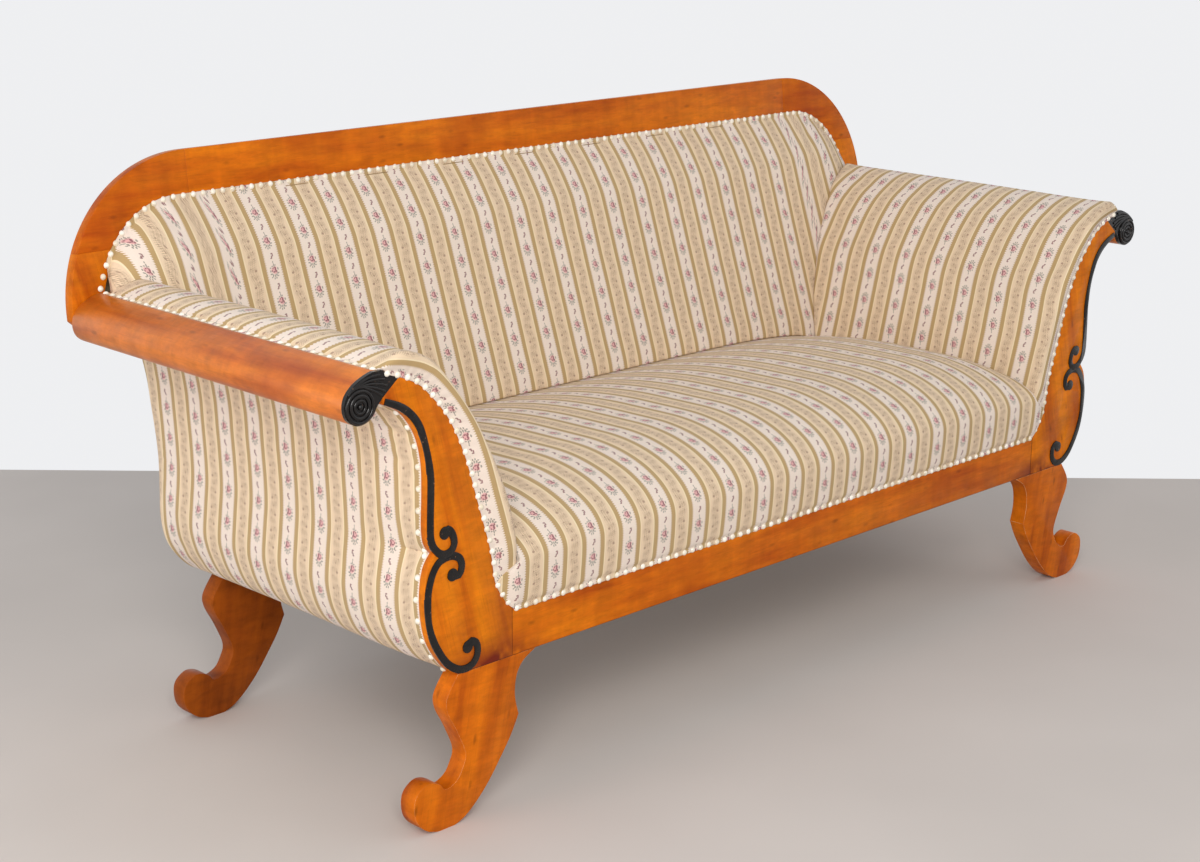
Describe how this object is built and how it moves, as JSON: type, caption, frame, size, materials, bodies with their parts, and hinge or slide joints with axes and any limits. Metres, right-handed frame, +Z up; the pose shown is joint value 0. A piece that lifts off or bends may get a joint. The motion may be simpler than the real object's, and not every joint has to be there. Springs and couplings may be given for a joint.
{
  "type": "scroll-arm sofa",
  "caption": "Two-armed scroll sofa with veneered frame, inlaid arm fronts, carved volutes, raked arched back, scroll feet and nailed striped upholstery.",
  "frame": {"origin": "on the floor under the middle of the sofa's bounding box", "axes": "+X along the sofa's length, +Y from the front to the back, +Z up"},
  "size_m": [2.146, 0.8222, 1.016],
  "materials": {
    "veneered_wood": "honey-orange fruitwood veneer, satin shellac",
    "frame_wood": "plain sawn softwood, unfinished",
    "ebonised_wood": "ebonised black, gloss",
    "striped_fabric": "woven stripe of beige, olive brown and white with small sprigs",
    "canvas": "coarse linen canvas",
    "webbing": "jute webbing",
    "spring_wire": "dull drawn wire",
    "white_nails": "off-white domed nail heads, soft gloss"
  },
  "bodies": {
    "root": {"front_seat_rail": "veneered_wood", "rear_seat_rail": "frame_wood", "side_seat_rail_left": "frame_wood", "side_seat_rail_right": "frame_wood", "corner_blocks": "frame_wood", "seat_webbing": "webbing", "seat_springs": "spring_wire", "seat_canvas": "canvas", "seat_pad": "striped_fabric", "arm_panel_left": "veneered_wood", "arm_panel_right": "veneered_wood", "arm_roll_rail_left": "veneered_wood", "arm_roll_rail_right": "veneered_wood", "carved_volute_left": "ebonised_wood", "carved_volute_right": "ebonised_wood", "upper_inlay_left": "ebonised_wood", "upper_inlay_right": "ebonised_wood", "lower_inlay_left": "ebonised_wood", "lower_inlay_right": "ebonised_wood", "arm_canvas_left": "canvas", "arm_canvas_right": "canvas", "arm_pad_left": "striped_fabric", "arm_pad_right": "striped_fabric", "side_cover_left": "striped_fabric", "side_cover_right": "striped_fabric", "back_top_rail": "veneered_wood", "back_corner_left": "veneered_wood", "back_corner_right": "veneered_wood", "back_stile_left": "veneered_wood", "back_stile_right": "veneered_wood", "back_lower_rail": "frame_wood", "back_webbing": "webbing", "back_pad": "striped_fabric", "back_cloth": "canvas", "foot_front_left": "veneered_wood", "foot_front_right": "veneered_wood", "foot_rear_left": "veneered_wood", "foot_rear_right": "veneered_wood", "foot_dowels": "frame_wood", "nails_seat": "white_nails", "nails_arm_left": "white_nails", "nails_arm_right": "white_nails", "nails_rail_left": "white_nails", "nails_rail_right": "white_nails", "nails_back": "white_nails", "nails_side_left": "white_nails", "nails_side_right": "white_nails"}
  },
  "joints": []
}
